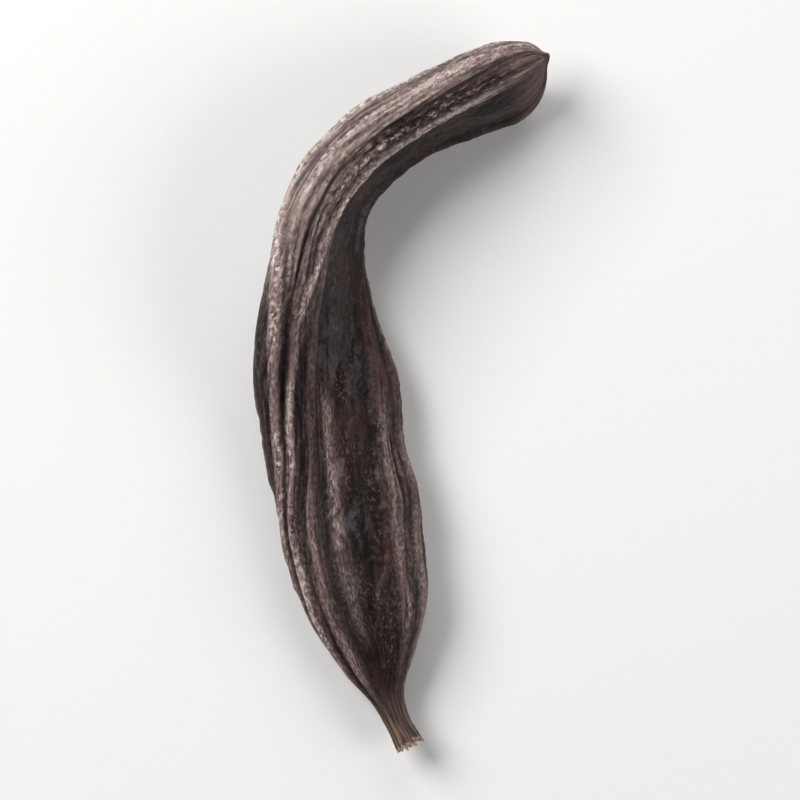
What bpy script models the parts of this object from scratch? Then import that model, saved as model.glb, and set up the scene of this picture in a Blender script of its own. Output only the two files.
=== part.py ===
"""One dried carob pod, lying on its side as it would on a table. Metres, +Z up.

The pod is a flat leathery bean that runs up the Y axis and hooks over towards +X. It is twisted:
near the stalk one face looks up, and round the hook the ventral suture turns up instead.
"""

import math

import bmesh
import bpy
import numpy as np

MM = 0.001

# Driving dimensions
POD_LENGTH = 148 * MM         # along the curved middle line, from the broken stalk to the tip
POD_WIDTH = 25.4 * MM         # from suture to suture, where the pod is widest
POD_THICKNESS = 10.6 * MM     # across the thick margins
TIP_ROUNDING = 9 * MM         # length of the blunt rounded tip
SEED_PITCH = 9.6 * MM         # from one seed to the next
SEED_BUMP = 0.60 * MM         # how far a seed lifts the skin
FACE_HOLLOW = 1.15 * MM       # how far the faces sink between the margins
BEAK = 1.1 * MM               # how far the dried style stands out at the tip
FLAT_SPOT = 0.35 * MM         # how much is pressed flat where the pod rests

# Outline: share of the length, then the width and the thickness there as shares of the full ones
OUTLINE = (
    (0.000, 0.19, 0.46),
    (0.035, 0.17, 0.41),
    (0.065, 0.23, 0.47),
    (0.110, 0.52, 0.68),
    (0.175, 0.83, 0.88),
    (0.270, 0.98, 0.99),
    (0.480, 1.00, 1.00),
    (0.650, 0.93, 0.98),
    (0.800, 0.85, 0.95),
    (0.920, 0.78, 0.90),
    (1.000, 0.72, 0.86),
)

# Twist: share of the length, then how many degrees the ventral suture is turned up there
TWIST = (
    (0.00, -6.0),
    (0.20, -6.0),
    (0.34, -4.0),
    (0.44, 10.0),
    (0.52, 34.0),
    (0.60, 57.0),
    (0.68, 67.0),
    (0.80, 69.0),
    (0.90, 62.0),
    (1.00, 52.0),
)

# Gap under the pod: share of the length, then how high the plain section passes over the table.
# It is lowest at three places, which carry the pod once the ribs and folds are on.
UNDERSIDE = (
    (0.00, 3.0 * MM),
    (0.12, 1.5 * MM),
    (0.33, -1.0 * MM),
    (0.47, 1.2 * MM),
    (0.61, 0.0 * MM),
    (0.80, 1.6 * MM),
    (0.96, 0.0 * MM),
    (1.00, 0.3 * MM),
)

# Course of the middle line: compass degrees, with 90 straight up the Y axis
SHAFT_HEADING = 98.0
STALK_SWAY = 20.0             # the stalk's end leans this much further over
SWAY_REACH = 0.60             # share of the length over which that lean dies out
HOOK_TURN = 80.0              # turn of the hook towards +X
HOOK_PLACE = 0.705            # share of the length where the hook turns most
HOOK_SPREAD = 0.060           # share of the length that sets how gentle the hook is
COURSE_STEPS = 2000           # steps in which the middle line is added up

# Section across the pod
SECTION_SQUARENESS = 2.6      # exponent of the superellipse: 2 is an ellipse, more is boxier
SECTION_STEPS = 1440          # steps round half a section, from suture to suture
STALK_LEAN = 0.35             # how far the narrow stalk end keeps to the ventral side
STALK_LEAN_END = 0.5          # share of the length past which it doesn't
TIP_LEAN = 0.42               # how far the beak at the tip keeps to the ventral side

# The ventral suture as the pod dried: share of the length, then how far it has crept over the skin
# from the edge on to the upper face
CREEP = (
    (0.00, 0.6 * MM),
    (0.12, 1.2 * MM),
    (0.20, 2.0 * MM),
    (0.28, 3.6 * MM),
    (0.37, 6.0 * MM),
    (0.45, 6.6 * MM),
    (0.54, 5.0 * MM),
    (0.64, 3.6 * MM),
    (0.85, 3.0 * MM),
    (1.00, 1.2 * MM),
)
CREEP_REACH = 13 * MM         # distance over the skin at which the creep has mostly died out

# Ribs along the ventral suture, the same on both sides of it: share of the length, then distance
# from the suture over the skin, half breadth and height. The twin ridges run close together up the
# shaft, and part at the hook to become the rim of the face.
SUTURE_GROOVE = (
    (0.00, 0.0 * MM, 0.45 * MM, -0.32 * MM),
    (0.50, 0.0 * MM, 0.45 * MM, -0.32 * MM),
    (0.66, 0.0 * MM, 0.50 * MM, -0.25 * MM),
    (1.00, 0.0 * MM, 0.50 * MM, -0.25 * MM),
)
TWIN_RIDGE = (
    (0.00, 1.4 * MM, 0.80 * MM, 0.50 * MM),
    (0.20, 1.5 * MM, 0.85 * MM, 0.60 * MM),
    (0.46, 1.5 * MM, 0.85 * MM, 0.60 * MM),
    (0.54, 2.4 * MM, 0.95 * MM, 0.65 * MM),
    (0.62, 4.8 * MM, 1.00 * MM, 0.80 * MM),
    (0.70, 6.8 * MM, 1.10 * MM, 0.90 * MM),
    (0.82, 7.2 * MM, 1.10 * MM, 0.65 * MM),
    (1.00, 5.4 * MM, 1.20 * MM, 0.30 * MM),
)
SHAFT_CHANNEL = (
    (0.00, 3.6 * MM, 1.20 * MM, -0.30 * MM),
    (0.20, 3.8 * MM, 1.20 * MM, -0.40 * MM),
    (0.46, 3.8 * MM, 1.20 * MM, -0.40 * MM),
    (0.56, 5.0 * MM, 1.20 * MM, -0.10 * MM),
    (0.64, 6.0 * MM, 1.20 * MM, 0.00 * MM),
    (1.00, 6.0 * MM, 1.20 * MM, 0.00 * MM),
)
SHAFT_RIM = (
    (0.00, 6.2 * MM, 1.30 * MM, 0.20 * MM),
    (0.46, 6.6 * MM, 1.30 * MM, 0.18 * MM),
    (0.58, 7.4 * MM, 1.30 * MM, 0.00 * MM),
    (1.00, 7.4 * MM, 1.30 * MM, 0.00 * MM),
)
HOOK_STRAND = (
    (0.00, 2.6 * MM, 0.80 * MM, 0.00 * MM),
    (0.58, 2.6 * MM, 0.80 * MM, 0.00 * MM),
    (0.68, 3.0 * MM, 0.90 * MM, 0.30 * MM),
    (0.86, 3.0 * MM, 0.90 * MM, 0.30 * MM),
    (1.00, 2.4 * MM, 0.80 * MM, 0.15 * MM),
)
VENTRAL_RIBS = (SUTURE_GROOVE, TWIN_RIDGE, SHAFT_CHANNEL, SHAFT_RIM, HOOK_STRAND)

# Ribs along the dorsal suture: distance from the suture over the skin, half breadth and height
DORSAL_RIBS = (
    (0.0 * MM, 0.80 * MM, -0.35 * MM),
    (2.1 * MM, 1.20 * MM, 0.35 * MM),
    (4.4 * MM, 1.20 * MM, -0.40 * MM),
)
RIM_BREADTH = 8.2 * MM        # from a suture over the skin to where the face starts to sink
RIM_SLOPE = 1.8 * MM          # breadth over which it sinks

# Seeds: first and last share of the length, and half breadths of a bump along and across
FIRST_SEED = 0.20
LAST_SEED = 0.93
SEED_ALONG = 3.4 * MM
SEED_ACROSS = 4.3 * MM

# Slanting folds where the drying pulp drew the faces in. The ranges say how far one fold may differ
# from the next: in its place, in parts of the usual gap, and in parts of its slant and its height.
FOLDS_EACH_FACE = 10
FOLD_PLACES = (-0.3, 0.3)
FOLD_SLANTS = (0.5, 1.3)
FOLD_RISES = (0.5, 1.0)
FOLD_HEIGHT = 0.42 * MM
FOLD_BREADTH = 1.7 * MM       # half breadth of the tallest part
FOLD_REACH = 6.0 * MM         # half of the breadth of face that one fold crosses
FOLD_SLANT = 1.5              # how far a fold runs along the pod for each step across it
FOLD_SCATTER = 3.0 * MM       # how far a fold's middle lies from the middle of the face
FOLD_SEED = 11

# Woody strands round the stalk: their count, their height and the length over which they die out
STALK_STRANDS = 7
STRAND_HEIGHT = 0.22 * MM
STRAND_REACH = 9 * MM

# Slow waves of the two margins: wavelength, height and phase
VENTRAL_WAVE = (34 * MM, 0.22 * MM, 0.7)
DORSAL_WAVE = (23 * MM, 0.38 * MM, 2.1)

# Mesh
BODY_RINGS = 70
TIP_RINGS = 8
POINTS_AROUND = 72
SUTURE_CROWDING = 0.55        # 0 spaces the points evenly, 1 crowds them all to the sutures

# Finish
SKIN_COLOUR = (0.030, 0.017, 0.013)
SKIN_ROUGHNESS = 0.42


def clear_scene():
    """Remove every object that is already there."""
    for thing in list(bpy.data.objects):
        bpy.data.objects.remove(thing, do_unlink=True)


def bump(distance, half_breadth):
    """A smooth bump: 1 at no distance, near 0 past two half breadths."""
    return np.exp(-(distance / half_breadth) ** 2)


def smooth_step(value):
    """0 below 0, 1 above 1, and a smooth rise between them."""
    value = np.clip(value, 0.0, 1.0)
    return value * value * (3 - 2 * value)


def at(table, share, column=1):
    """One column of a table of shares, read smoothly at the given shares, as an upright column."""
    places = np.array([row[0] for row in table])
    values = np.array([row[column] for row in table])
    slopes = np.gradient(values, places)
    right = np.clip(np.searchsorted(places, share), 1, len(places) - 1)
    left = right - 1
    gap = places[right] - places[left]
    part = (share - places[left]) / gap
    rise = part * part * (3 - 2 * part)
    leaving = part * (1 - part) ** 2 * gap * slopes[left]
    arriving = part * part * (part - 1) * gap * slopes[right]
    smooth = values[left] * (1 - rise) + values[right] * rise + leaving + arriving
    return smooth[:, None]


def middle_line(share):
    """X, Y and heading in radians of the middle line at each share of the length."""
    steps = (np.arange(COURSE_STEPS) + 0.5) / COURSE_STEPS
    sway = STALK_SWAY * np.clip(1 - steps / SWAY_REACH, 0, 1) ** 2
    hook = HOOK_TURN / (1 + np.exp((HOOK_PLACE - steps) / HOOK_SPREAD))
    heading = np.radians(SHAFT_HEADING + sway - hook)
    step = POD_LENGTH / COURSE_STEPS
    x = np.concatenate(([0.0], np.cumsum(np.cos(heading)) * step))
    y = np.concatenate(([0.0], np.cumsum(np.sin(heading)) * step))
    ends = np.arange(COURSE_STEPS + 1) / COURSE_STEPS
    return np.interp(share, ends, x), np.interp(share, ends, y), np.interp(share, steps, heading)


def plain_section():
    """Half of the plain section, from the ventral edge round the upper face to the dorsal edge.

    Returns the distance over the skin, the place across the width and through the thickness as
    shares of their half sizes, and the outward direction across and through.
    """
    angle = np.linspace(0, math.pi, SECTION_STEPS + 1)
    power = 2 / SECTION_SQUARENESS
    across = np.sign(np.cos(angle)) * np.abs(np.cos(angle)) ** power
    through = np.abs(np.sin(angle)) ** power
    steps = np.hypot(np.diff(across) * POD_WIDTH / 2, np.diff(through) * POD_THICKNESS / 2)
    over = np.concatenate(([0.0], np.cumsum(steps)))
    out_across = np.sign(across) * np.abs(across) ** (SECTION_SQUARENESS - 1) / POD_WIDTH
    out_through = through ** (SECTION_SQUARENESS - 1) / POD_THICKNESS
    size = np.hypot(out_across, out_through)
    return over, across, through, out_across / size, out_through / size


def half_girth():
    """Distance over the plain skin from the ventral to the dorsal edge."""
    return plain_section()[0][-1]


def places_along():
    """Shares of the length at which the rings stand: even, then crowded round the tip."""
    tip_start = 1 - TIP_ROUNDING / POD_LENGTH
    body = np.linspace(0, tip_start, BODY_RINGS)
    turn = np.linspace(0, math.pi / 2, TIP_RINGS + 1)[1:-1]
    tip = tip_start + (1 - tip_start) * np.sin(turn)
    return np.concatenate((body, tip))


def places_around():
    """Signed distances over the skin from the ventral suture, once round, upper face first."""
    count = POINTS_AROUND // 2
    even = np.arange(count + 1) / count
    crowded = even - SUTURE_CROWDING * np.sin(2 * math.pi * even) / (2 * math.pi)
    half = crowded * half_girth()
    return np.concatenate((half, -half[-2:0:-1]))


def rib_relief(share, from_ventral, from_dorsal):
    """Ribs along both sutures, and the faces sunk between them."""
    height = np.zeros((len(share), from_ventral.shape[-1]))
    for course in VENTRAL_RIBS:
        distance, breadth, rise = (at(course, share, column) for column in (1, 2, 3))
        height += rise * bump(from_ventral - distance, breadth)
    for distance, breadth, rise in DORSAL_RIBS:
        height += rise * bump(from_dorsal - distance, breadth)
    rim = np.minimum(from_ventral, from_dorsal)
    return height - FACE_HOLLOW * smooth_step((rim - RIM_BREADTH) / RIM_SLOPE + 0.5)


def seed_relief(along, from_middle):
    """A row of low bumps, one over each seed."""
    height = np.zeros(np.broadcast(along, from_middle).shape)
    for place in np.arange(FIRST_SEED * POD_LENGTH, LAST_SEED * POD_LENGTH, SEED_PITCH):
        far = np.hypot((along - place) / SEED_ALONG, from_middle / SEED_ACROSS)
        height += SEED_BUMP * bump(far, 1.0)
    return height


def fold_relief(along, around, from_middle):
    """Low slanting folds and dents, drawn for each face on its own."""
    draw = np.random.default_rng(FOLD_SEED)
    height = np.zeros(np.broadcast(along, around).shape)
    pitch = (LAST_SEED - FIRST_SEED) / FOLDS_EACH_FACE
    for face in (1, -1):
        for number in range(FOLDS_EACH_FACE):
            share = FIRST_SEED + (number + draw.uniform(*FOLD_PLACES)) * pitch
            slant = FOLD_SLANT * draw.uniform(*FOLD_SLANTS)
            centre = draw.uniform(-FOLD_SCATTER, FOLD_SCATTER)
            rise = FOLD_HEIGHT * draw.uniform(*FOLD_RISES) * draw.choice((-1.0, 1.0))
            offset = along - share * POD_LENGTH - slant * (from_middle - centre)
            near = bump(offset / math.hypot(1.0, slant), FOLD_BREADTH)
            height += rise * near * bump(from_middle - centre, FOLD_REACH) * (face * around > 0)
    return height


def strand_relief(along, around):
    """Woody strands round the stalk."""
    strands = np.cos(STALK_STRANDS * math.pi * around / half_girth())
    return STRAND_HEIGHT * strands * bump(along, STRAND_REACH)


def wave(along, shape):
    """The slow wave of a margin."""
    length, height, phase = shape
    return height * np.sin(2 * math.pi * along / length + phase)


def pod_skin(share, around):
    """Points of the skin: one row for each share of the length, one column for each place around."""
    over, across, through, out_across, out_through = plain_section()
    around = around[None, :]
    along = (share * POD_LENGTH)[:, None]
    place = around + at(CREEP, share) * bump(around, CREEP_REACH)
    side = np.where(place < 0, -1.0, 1.0)
    place = np.abs(place)
    u = np.interp(place, over, across)
    v = side * np.interp(place, over, through)

    width = at(OUTLINE, share)
    twist = np.radians(at(TWIST, share))
    stalk_lean = STALK_LEAN * (1 - width) * (share[:, None] < STALK_LEAN_END)
    a = POD_WIDTH / 2 * (width * u + stalk_lean)
    b = POD_THICKNESS / 2 * at(OUTLINE, share, 2) * v
    drop = np.max(-(a * np.sin(twist) + b * np.cos(twist)), axis=1, keepdims=True)

    into_tip = np.clip((along - (POD_LENGTH - TIP_ROUNDING)) / TIP_ROUNDING, 0, 1)
    rounding = np.sqrt(1 - into_tip ** 2)
    a = a * rounding + POD_WIDTH / 2 * TIP_LEAN * (1 - rounding) * width
    b = b * rounding

    from_ventral = np.abs(around)
    from_middle = from_ventral - half_girth() / 2
    lift = rib_relief(share, from_ventral, half_girth() - from_ventral)
    lift = lift + seed_relief(along, from_middle) + fold_relief(along, around, from_middle)
    lift = lift * width * rounding + strand_relief(along, around)
    margin = np.where(u > 0, wave(along, VENTRAL_WAVE), wave(along, DORSAL_WAVE))
    a = a + lift * np.interp(place, over, out_across) + u * margin * width * rounding
    b = b + lift * side * np.interp(place, over, out_through)

    x, y, heading = middle_line(share)
    level = a * np.cos(twist) - b * np.sin(twist)
    points_x = x[:, None] - np.sin(heading)[:, None] * level
    points_y = y[:, None] + np.cos(heading)[:, None] * level
    points_z = drop + at(UNDERSIDE, share) + a * np.sin(twist) + b * np.cos(twist)
    return np.stack((points_x, points_y, points_z), axis=-1)


def lay_down(points):
    """Centre the pod on the origin and press its lowest spots flat on the table."""
    flat = points.reshape(-1, 3)
    middle = (flat.min(axis=0) + flat.max(axis=0)) / 2
    lowest = flat[:, 2].min()
    placed = points - np.array((middle[0], middle[1], lowest + FLAT_SPOT))
    placed[..., 2] = np.maximum(placed[..., 2], 0.0)
    return placed


def skin_material():
    """Dark brown leathery skin."""
    material = bpy.data.materials.new("carob_skin")
    material.use_nodes = True
    shader = material.node_tree.nodes["Principled BSDF"]
    shader.inputs["Base Color"].default_value = (*SKIN_COLOUR, 1.0)
    shader.inputs["Roughness"].default_value = SKIN_ROUGHNESS
    shader.inputs["Metallic"].default_value = 0.0
    return material


def close_end(mesh, loop, point):
    """Close an open end with a fan of faces to one point."""
    middle = mesh.verts.new(point)
    for corner, following in zip(loop, loop[1:] + loop[:1]):
        mesh.faces.new((corner, following, middle))


def build_pod():
    """The pod as one closed body: rings joined by faces, closed at the stalk and at the beak."""
    rings = lay_down(pod_skin(places_along(), places_around()))
    mesh = bmesh.new()
    loops = [[mesh.verts.new(point) for point in ring] for ring in rings]
    for lower, upper in zip(loops, loops[1:]):
        corners = zip(lower, upper, upper[1:] + upper[:1], lower[1:] + lower[:1])
        for face in corners:
            mesh.faces.new(face)
    heading = middle_line(1.0)[2]
    ahead = np.array((math.cos(heading), math.sin(heading), 0.0))
    close_end(mesh, loops[0], rings[0].mean(axis=0))
    close_end(mesh, loops[-1], rings[-1].mean(axis=0) + BEAK * ahead)
    bmesh.ops.recalc_face_normals(mesh, faces=mesh.faces)
    bmesh.ops.triangulate(mesh, faces=mesh.faces, quad_method="SHORT_EDGE")
    data = bpy.data.meshes.new("carob_pod")
    mesh.to_mesh(data)
    mesh.free()
    data.shade_smooth()
    data.materials.append(skin_material())
    pod = bpy.data.objects.new("carob_pod", data)
    bpy.context.scene.collection.objects.link(pod)


def main():
    """Build the whole part."""
    clear_scene()
    build_pod()


main()
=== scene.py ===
"""A dried carob pod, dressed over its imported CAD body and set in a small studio.

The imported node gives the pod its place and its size. A finer skin of the same form replaces it: the
same course, twist, ribs, seeds and folds, with the creases, strands and puckers of a dried pod on
top. Lengths are metres unless a name ends in _mm, angles are degrees, and +Z is up.
"""

import logging
import math
from dataclasses import dataclass, field
from enum import Enum
from typing import Any

import bpy
import numpy as np
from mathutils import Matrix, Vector, noise


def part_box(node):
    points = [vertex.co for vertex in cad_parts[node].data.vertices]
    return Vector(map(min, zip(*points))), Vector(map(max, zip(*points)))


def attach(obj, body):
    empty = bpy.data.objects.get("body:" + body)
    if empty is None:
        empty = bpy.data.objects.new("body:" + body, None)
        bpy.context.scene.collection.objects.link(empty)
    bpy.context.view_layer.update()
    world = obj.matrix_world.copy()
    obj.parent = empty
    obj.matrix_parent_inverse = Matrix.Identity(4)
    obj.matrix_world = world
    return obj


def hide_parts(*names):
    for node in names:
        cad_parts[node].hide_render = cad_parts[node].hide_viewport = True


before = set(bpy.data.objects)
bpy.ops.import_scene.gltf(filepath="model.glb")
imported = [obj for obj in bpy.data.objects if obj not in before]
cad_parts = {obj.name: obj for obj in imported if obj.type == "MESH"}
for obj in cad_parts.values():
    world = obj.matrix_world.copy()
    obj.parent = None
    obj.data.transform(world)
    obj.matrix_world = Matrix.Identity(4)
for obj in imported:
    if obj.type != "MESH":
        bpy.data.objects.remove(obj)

LOG = logging.getLogger("carob_pod")
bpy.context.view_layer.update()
MM = 0.001
# How far apart the layers of one noise are drawn, in marks, so that no two look alike
RELIEF_APART = 17.3
PATTERNS_APART = 7.7
# Cords that lie side by side wander together over this many of their breadths
CORDS_TOGETHER = 3
# Sockets of a node that mixes two colours
SHARE_IN, LOWER_IN, UPPER_IN, COLOUR_OUT = 0, 6, 7, 2

Colour = tuple[float, float, float, float]
Table = tuple[tuple[float, ...], ...]


def linear(hex_colour: str) -> Colour:
    """Turn an sRGB hex value into the linear colour that the shader reads.

    Args:
        hex_colour: Six hex digits after a hash sign.

    Returns:
        Red, green, blue and an alpha of 1.
    """
    shares = [int(hex_colour[start:start + 2], 16) / 255 for start in (1, 3, 5)]
    # The straight and the curved stretch of the sRGB standard
    return (*[c / 12.92 if c <= 0.04045 else ((c + 0.055) / 1.055) ** 2.4 for c in shares], 1.0)


def add_node(
    tree: bpy.types.NodeTree, kind: str, feeds: dict[str | int, Any] | None = None, **settings: Any
) -> bpy.types.Node:
    """Add one node with its settings and what feeds it.

    Args:
        tree: The node tree that gets the node.
        kind: Blender's name for the kind of node.
        feeds: For each input, by name or number, a value or the output that is linked to it.
        settings: The node's own properties.

    Returns:
        The new node.
    """
    node = tree.nodes.new(kind)
    for name, value in settings.items():
        setattr(node, name, value)
    for name, value in (feeds or {}).items():
        if isinstance(value, bpy.types.NodeSocket):
            tree.links.new(value, node.inputs[name])
        else:
            node.inputs[name].default_value = value
    return node


def blank_material(name: str) -> tuple[bpy.types.Material, bpy.types.ShaderNode]:
    """Make a material that nothing has been set on.

    Args:
        name: The material's name.

    Returns:
        The material and its shader.
    """
    material = bpy.data.materials.new(name)
    material.use_nodes = True
    return material, material.node_tree.nodes["Principled BSDF"]


def put_in_scene(name: str, data: bpy.types.ID) -> bpy.types.Object:
    """Put a new object in the scene.

    Args:
        name: The object's name.
        data: Its mesh, light or camera.

    Returns:
        The object.
    """
    piece = bpy.data.objects.new(name, data)
    bpy.context.scene.collection.objects.link(piece)
    return piece


def bump(distance: np.ndarray, half_breadth: float) -> np.ndarray:
    """A smooth bump: 1 at no distance, near 0 past two half breadths."""
    return np.exp(-(distance / half_breadth) ** 2)


def smooth_step(value: np.ndarray) -> np.ndarray:
    """0 below 0, 1 above 1, and a smooth rise between them."""
    value = np.clip(value, 0.0, 1.0)
    return value * value * (3 - 2 * value)


def between(low: float, high: float, part: np.ndarray) -> np.ndarray:
    """Blend from the low value, where the part is 0, to the high one, where it is 1."""
    return low + (high - low) * part


def at(table: Table, share: np.ndarray, column: int = 1) -> np.ndarray:
    """Read one column of a table smoothly.

    Args:
        table: Rows that start with a share of the length.
        share: The shares at which to read it.
        column: The column to read.

    Returns:
        The values as an upright column, one row for each share.
    """
    places = np.array([row[0] for row in table])
    values = np.array([row[column] for row in table])
    slopes = np.gradient(values, places)
    right = np.clip(np.searchsorted(places, share), 1, len(places) - 1)
    left = right - 1
    gap = places[right] - places[left]
    part = (share - places[left]) / gap
    rise = part * part * (3 - 2 * part)
    leaving = part * (1 - part) ** 2 * gap * slopes[left]
    arriving = part * part * (part - 1) * gap * slopes[right]
    smooth = values[left] * (1 - rise) + values[right] * rise + leaving + arriving
    return smooth[:, None]


def clouds(places: np.ndarray, size: tuple[float, float, float], layer: int) -> np.ndarray:
    """Soft noise over the skin.

    Args:
        places: Places in skin coordinates.
        size: How long a soft mark is along the pod, and how broad it is in the other two.
        layer: A number that keeps one field of marks apart from the next.

    Returns:
        A height for each place, between about -1 and 1.
    """
    scaled = places / np.array(size) + layer * RELIEF_APART
    heights = [noise.noise(place) for place in scaled.reshape(-1, 3).tolist()]
    return np.array(heights).reshape(places.shape[:-1])


def cells(places: np.ndarray, size: tuple[float, float, float], layer: int) -> np.ndarray:
    """Cells that lie side by side over the skin.

    Args:
        places: Places in skin coordinates.
        size: How long a cell is along the pod, and how broad it is in the other two.
        layer: A number that keeps one field of cells apart from the next.

    Returns:
        For each place, how far it is from the border of its cell: 0 on the border.
    """
    scaled = places / np.array(size) + layer * RELIEF_APART
    distances = [noise.voronoi(place)[0] for place in scaled.reshape(-1, 3).tolist()]
    return np.array([far[1] - far[0] for far in distances]).reshape(places.shape[:-1])


def smoothed(heights: np.ndarray, passes: int) -> np.ndarray:
    """Even out heights over the skin.

    Args:
        heights: Heights, by rings and columns.
        passes: How often each is averaged with its neighbours.

    Returns:
        The evened heights.
    """
    for _ in range(passes):
        heights = (np.roll(heights, 1, axis=1) + 2 * heights + np.roll(heights, -1, axis=1)) / 4
        padded = np.pad(heights, ((1, 1), (0, 0)), mode="edge")
        heights = (padded[:-2] + 2 * padded[1:-1] + padded[2:]) / 4
    return heights


def with_ends(rings: np.ndarray) -> np.ndarray:
    """List the values of all the rings, then the mean of the first ring and of the last.

    Args:
        rings: Values by rings and columns, each a number or a vector.

    Returns:
        One row of values for each point, with the two end points after all the rings.
    """
    rows = rings.reshape(*rings.shape[:2], -1)
    ends = rows[[0, -1]].mean(axis=1)
    return np.concatenate((rows.reshape(-1, rows.shape[-1]), ends))


class Suture(Enum):
    """The two edges of a pod. The seeds hang from the ventral one."""

    VENTRAL = "ventral"
    DORSAL = "dorsal"


class Face(Enum):
    """The two broad faces of a pod, as it lies."""

    UPPER = 1
    UNDER = -1


class Mark(Enum):
    """What the finish reads from the skin, each named as its attribute on the mesh."""

    # Painted shade, darkest at the bottom of creases and hollows
    PLACE = "skin_mm"
    SHADE_IN_HOLLOWS = "hollow"
    WORN = "worn"
    TAN = "tan"
    # Pale grains, partly scurf and partly painted glints on the tops of the grains
    SCURF_AND_GLINTS = "scurf"
    MARGIN = "margin"
    STALK = "stalk"
    TORN = "torn"


@dataclass(frozen=True)
class Spots:
    """Where each point of the skin lies on the pod, in every way that the relief reads it.

    The skin coordinates are the distance along the pod and the place on a circle with the pod's
    girth, so that soft marks meet without a seam once round it.
    """

    share: np.ndarray
    along: np.ndarray
    around: np.ndarray
    skin_mm: np.ndarray
    from_suture: dict[Suture, np.ndarray]
    from_middle: np.ndarray
    face: np.ndarray

    def on(self, face: Face) -> np.ndarray:
        """True for the points of this face."""
        return face.value * self.around > 0


@dataclass(frozen=True)
class Texture:
    """One kind of relief on the dried skin.

    Its sizes are millimetres: how long it is along the pod, how broad and how high. A texture that
    only makes another one stronger or weaker has that strength for its height. The layer keeps its
    marks apart from those of the others.
    """

    length: float
    breadth: float
    height: float
    layer: int

    def soft(self, skin_mm: np.ndarray) -> np.ndarray:
        """The soft noise that the relief is drawn with."""
        return clouds(skin_mm, (self.length, self.breadth, self.breadth), self.layer)

    def waves(self, skin_mm: np.ndarray) -> np.ndarray:
        """Soft rises and dips."""
        return self.height * self.soft(skin_mm)

    def folds(self, skin_mm: np.ndarray) -> np.ndarray:
        """Round-backed folds with sharp creases between them."""
        return self.height * (2 * np.abs(self.soft(skin_mm)) - 0.5)

    def threads(self, skin_mm: np.ndarray) -> np.ndarray:
        """Sharp-backed threads with soft troughs between them."""
        return -self.folds(skin_mm)

    def veins(self, skin_mm: np.ndarray, fineness: float) -> np.ndarray:
        """Single thin raised lines that wander along the pod."""
        return self.height * bump(self.soft(skin_mm), fineness)

    def cords(self, skin_mm: np.ndarray, across_mm: np.ndarray, stray: float) -> np.ndarray:
        """Cords side by side along the pod, with sharp creases between them.

        Args:
            skin_mm: Skin coordinates.
            across_mm: Distance over the skin across the cords.
            stray: How many cord breadths a cord wanders sideways.

        Returns:
            The height, which is 0 on average.
        """
        together = CORDS_TOGETHER * self.breadth
        wander = clouds(skin_mm, (self.length, together, together), self.layer)
        turn = math.pi * (across_mm / self.breadth + stray * wander)
        return self.height * (np.abs(np.sin(turn)) - 2 / math.pi)

    def pillows(self, skin_mm: np.ndarray, crease: float) -> np.ndarray:
        """Small pillows with a crease round each, as leather has.

        Args:
            skin_mm: Skin coordinates.
            crease: How much of each pillow its rounded edge takes, from 0 to 1.

        Returns:
            The height, which is 0 on average.
        """
        size = (self.length, self.breadth, self.breadth)
        inward = np.clip(cells(skin_mm, size, self.layer) / crease, 0, 1)
        rise = inward * (2 - inward)
        return self.height * (rise - rise.mean())


@dataclass(frozen=True)
class WornBand:
    """A band beside a suture, on one face, where the skin is paler than its ribs make it."""

    suture: Suture
    face: Face
    distance_mm: float
    half_breadth_mm: float
    first: float
    last: float
    strength: float
    fade: float = 0.08

    def draw(self, spots: Spots) -> np.ndarray:
        """Draw the band over the skin.

        Args:
            spots: Where each point of the skin lies.

        Returns:
            How strongly each point is worn.
        """
        near = bump(spots.from_suture[self.suture] / MM - self.distance_mm, self.half_breadth_mm)
        begins = smooth_step((spots.share - self.first) / self.fade + 0.5)
        ends = smooth_step((self.last - spots.share) / self.fade + 0.5)
        return self.strength * near * begins * ends * spots.on(self.face)


@dataclass(frozen=True)
class Rubbing:
    """How strongly rubbed skin shows a mark: all over it, and how much more on hook and crests."""

    all_over: float
    on_hook: float
    on_crests: float

    def shown(self, hook: np.ndarray, crest: np.ndarray) -> np.ndarray:
        """How strongly the mark shows at each point."""
        return self.all_over + self.on_hook * hook + self.on_crests * crest


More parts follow.
